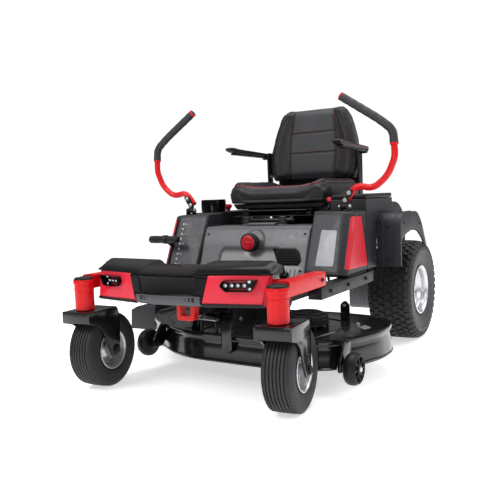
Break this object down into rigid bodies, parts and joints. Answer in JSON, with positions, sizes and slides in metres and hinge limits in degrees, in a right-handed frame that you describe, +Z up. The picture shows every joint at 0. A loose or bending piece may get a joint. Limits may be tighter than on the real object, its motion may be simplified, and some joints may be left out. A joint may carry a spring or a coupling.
{
  "type": "zero turn mower",
  "caption": "Ride-on zero turn mower with caster front wheels, two drive levers, tipping seat, lifting side-discharge deck and rear engine.",
  "frame": {"origin": "bottom centre of the whole part's box, on the ground", "axes": "+Z up, -Y is the front of the machine, +X is the operator's left"},
  "size_m": [1.2768, 1.8326, 1.094],
  "materials": {
    "frame_red": "gloss red paint",
    "panel_red": "satin red",
    "frame_black": "satin black paint",
    "deck_black": "gloss black paint",
    "gloss_black": "gloss",
    "charcoal": "fine texture",
    "tank_black": "smooth",
    "grey_panel": "fine texture",
    "tyre": "rubber",
    "silver": "silver paint",
    "vinyl": "grained vinyl",
    "foam": "soft foam",
    "alloy": "as cast",
    "steel": "bare steel"
  },
  "bodies": {
    "chassis": {"caster_barrel_left": "frame_red", "caster_barrel_right": "frame_red", "front_arm_left": "frame_red", "front_arm_right": "frame_red", "front_beam": "frame_red", "frame_rail_left": "frame_black", "frame_rail_right": "frame_black", "engine_plate": "frame_black", "rear_guard": "frame_black", "hood": "gloss_black", "grille_panel": "gloss_black", "headlight_panel_left": "panel_red", "headlight_panel_right": "panel_red", "floor_pan": "frame_black", "foot_panel": "grey_panel", "console_left": "charcoal", "console_right": "charcoal", "fender_left": "charcoal", "fender_right": "charcoal", "storage_box": "charcoal", "side_tray": "charcoal", "cup_holder": "gloss_black", "fuel_tank": "tank_black", "engine": "alloy", "engine_cover": "gloss_black", "transaxle_left": "alloy", "transaxle_right": "alloy"},
    "deck": {"deck_shell": "deck_black"},
    "chute": {"discharge_chute": "charcoal"},
    "seat_frame": {"seat_plate": "frame_black"},
    "seat": {"seat_pan": "tank_black", "seat_cushion": "vinyl", "seat_back": "vinyl"},
    "cap": {"fuel_cap": "gloss_black"},
    "height_control": {"height_lever": "frame_black"},
    "pedal": {"lift_pedal": "frame_black"},
    "throttle": {"throttle_lever": "frame_black"},
    "blade_switch": {"blade_knob": "panel_red"},
    "caster_left": {"caster_fork_left": "deck_black"},
    "front_wheel_left": {"front_tyre_left": "tyre", "front_rim_left": "silver"},
    "rear_wheel_left": {"rear_tyre_left": "tyre", "rear_rim_left": "silver"},
    "lever_mount_left": {"lever_base_left": "frame_black"},
    "lever_left": {"lever_tube_left": "frame_red", "lever_grip_left": "foam"},
    "blade_left": {"blade_spindle_left": "steel"},
    "roller_left": {"gauge_roller_left": "charcoal"},
    "arm_left": {"armrest_left": "vinyl"},
    "caster_right": {"caster_fork_right": "deck_black"},
    "front_wheel_right": {"front_tyre_right": "tyre", "front_rim_right": "silver"},
    "rear_wheel_right": {"rear_tyre_right": "tyre", "rear_rim_right": "silver"},
    "lever_mount_right": {"lever_base_right": "frame_black"},
    "lever_right": {"lever_tube_right": "frame_red", "lever_grip_right": "foam"},
    "blade_right": {"blade_spindle_right": "steel"},
    "roller_right": {"gauge_roller_right": "charcoal"},
    "arm_right": {"armrest_right": "vinyl"}
  },
  "joints": [
    {"name": "caster_swivel_left", "type": "hinge", "parent": "chassis", "child": "caster_left", "pos_m": [0.4656, -0.8562, 0.2995], "axis": [0, 0, 1], "continuous": true},
    {"name": "front_wheel_spin_left", "type": "hinge", "parent": "caster_left", "child": "front_wheel_left", "pos_m": [0.45657, -0.76967, 0.1395], "axis": [0.9946, 0.1038, 0], "continuous": true},
    {"name": "rear_wheel_spin_left", "type": "hinge", "parent": "chassis", "child": "rear_wheel_left", "pos_m": [0.4516, 0.4208, 0.2285], "axis": [1, 0, 0], "continuous": true},
    {"name": "drive_lever_left", "type": "hinge", "parent": "chassis", "child": "lever_mount_left", "pos_m": [0.4296, -0.2152, 0.636], "axis": [1, 0, 0], "range_deg": [-12, 12]},
    {"name": "lever_swing_left", "type": "hinge", "parent": "lever_mount_left", "child": "lever_left", "pos_m": [0.4296, -0.1912, 0.66], "axis": [0, 1, 0], "range_deg": [-30, 0]},
    {"name": "blade_spin_left", "type": "hinge", "parent": "deck", "child": "blade_left", "pos_m": [0.3236, -0.3622, 0.1055], "axis": [0, 0, 1], "continuous": true},
    {"name": "roller_spin_left", "type": "hinge", "parent": "deck", "child": "roller_left", "pos_m": [0.5951, -0.5822, 0.105], "axis": [1, 0, 0], "continuous": true},
    {"name": "armrest_lift_left", "type": "hinge", "parent": "seat", "child": "arm_left", "pos_m": [0.3276, 0.2928, 0.88], "axis": [-1, 0, 0], "range_deg": [0, 95]},
    {"name": "caster_swivel_right", "type": "hinge", "parent": "chassis", "child": "caster_right", "pos_m": [-0.3304, -0.8562, 0.2995], "axis": [0, 0, 1], "continuous": true},
    {"name": "front_wheel_spin_right", "type": "hinge", "parent": "caster_right", "child": "front_wheel_right", "pos_m": [-0.33501, -0.76932, 0.1395], "axis": [0.9986, 0.053, 0], "continuous": true},
    {"name": "rear_wheel_spin_right", "type": "hinge", "parent": "chassis", "child": "rear_wheel_right", "pos_m": [-0.3164, 0.4208, 0.2285], "axis": [1, 0, 0], "continuous": true},
    {"name": "drive_lever_right", "type": "hinge", "parent": "chassis", "child": "lever_mount_right", "pos_m": [-0.2944, -0.2152, 0.636], "axis": [1, 0, 0], "range_deg": [-12, 12]},
    {"name": "lever_swing_right", "type": "hinge", "parent": "lever_mount_right", "child": "lever_right", "pos_m": [-0.2944, -0.1912, 0.66], "axis": [0, -1, 0], "range_deg": [-30, 0]},
    {"name": "blade_spin_right", "type": "hinge", "parent": "deck", "child": "blade_right", "pos_m": [-0.1944, -0.2252, 0.1055], "axis": [0, 0, 1], "continuous": true},
    {"name": "roller_spin_right", "type": "hinge", "parent": "deck", "child": "roller_right", "pos_m": [-0.3084, -0.5332, 0.114], "axis": [1, 0, 0], "continuous": true},
    {"name": "armrest_lift_right", "type": "hinge", "parent": "seat", "child": "arm_right", "pos_m": [-0.1924, 0.2928, 0.88], "axis": [-1, 0, 0], "range_deg": [0, 95]},
    {"name": "height_lever_turn", "type": "hinge", "parent": "chassis", "child": "height_control", "pos_m": [-0.3234, -0.1572, 0.396], "axis": [-1, 0, 0], "range_deg": [-4, 16]},
    {"name": "deck_lift", "type": "slide", "parent": "chassis", "child": "deck", "axis": [0, 0, 1], "range_m": [-0.0176, 0.07]},
    {"name": "lift_pedal_press", "type": "hinge", "parent": "chassis", "child": "pedal", "pos_m": [0.2506, -0.4022, 0.386], "axis": [1, 0, 0], "range_deg": [-4.5, 17]},
    {"name": "chute_flip", "type": "hinge", "parent": "deck", "child": "chute", "pos_m": [-0.4859, -0.1772, 0.1965], "axis": [0, 1, 0], "range_deg": [0, 80]},
    {"name": "seat_tip", "type": "hinge", "parent": "chassis", "child": "seat_frame", "pos_m": [0.0676, -0.1572, 0.585], "axis": [1, 0, 0], "range_deg": [0, 55]},
    {"name": "seat_slide", "type": "slide", "parent": "seat_frame", "child": "seat", "axis": [0, -1, 0], "range_m": [-0.03, 0.04]},
    {"name": "fuel_cap_turn", "type": "hinge", "parent": "chassis", "child": "cap", "pos_m": [0.0676, -0.3372, 0.505], "axis": [0, -1, 0], "continuous": true},
    {"name": "throttle_turn", "type": "hinge", "parent": "chassis", "child": "throttle", "pos_m": [0.3716, -0.2322, 0.634], "axis": [1, 0, 0], "range_deg": [-25, 25]},
    {"name": "blade_switch_pull", "type": "slide", "parent": "chassis", "child": "blade_switch", "axis": [0, 0, 1], "range_m": [0, 0.012]}
  ],
  "couplings": [
    {"joint": "deck_lift", "follows": "height_lever_turn", "m_per_rad": 0.25},
    {"joint": "lift_pedal_press", "follows": "height_lever_turn", "ratio": 1},
    {"joint": "blade_spin_right", "follows": "blade_spin_left", "ratio": 1}
  ]
}
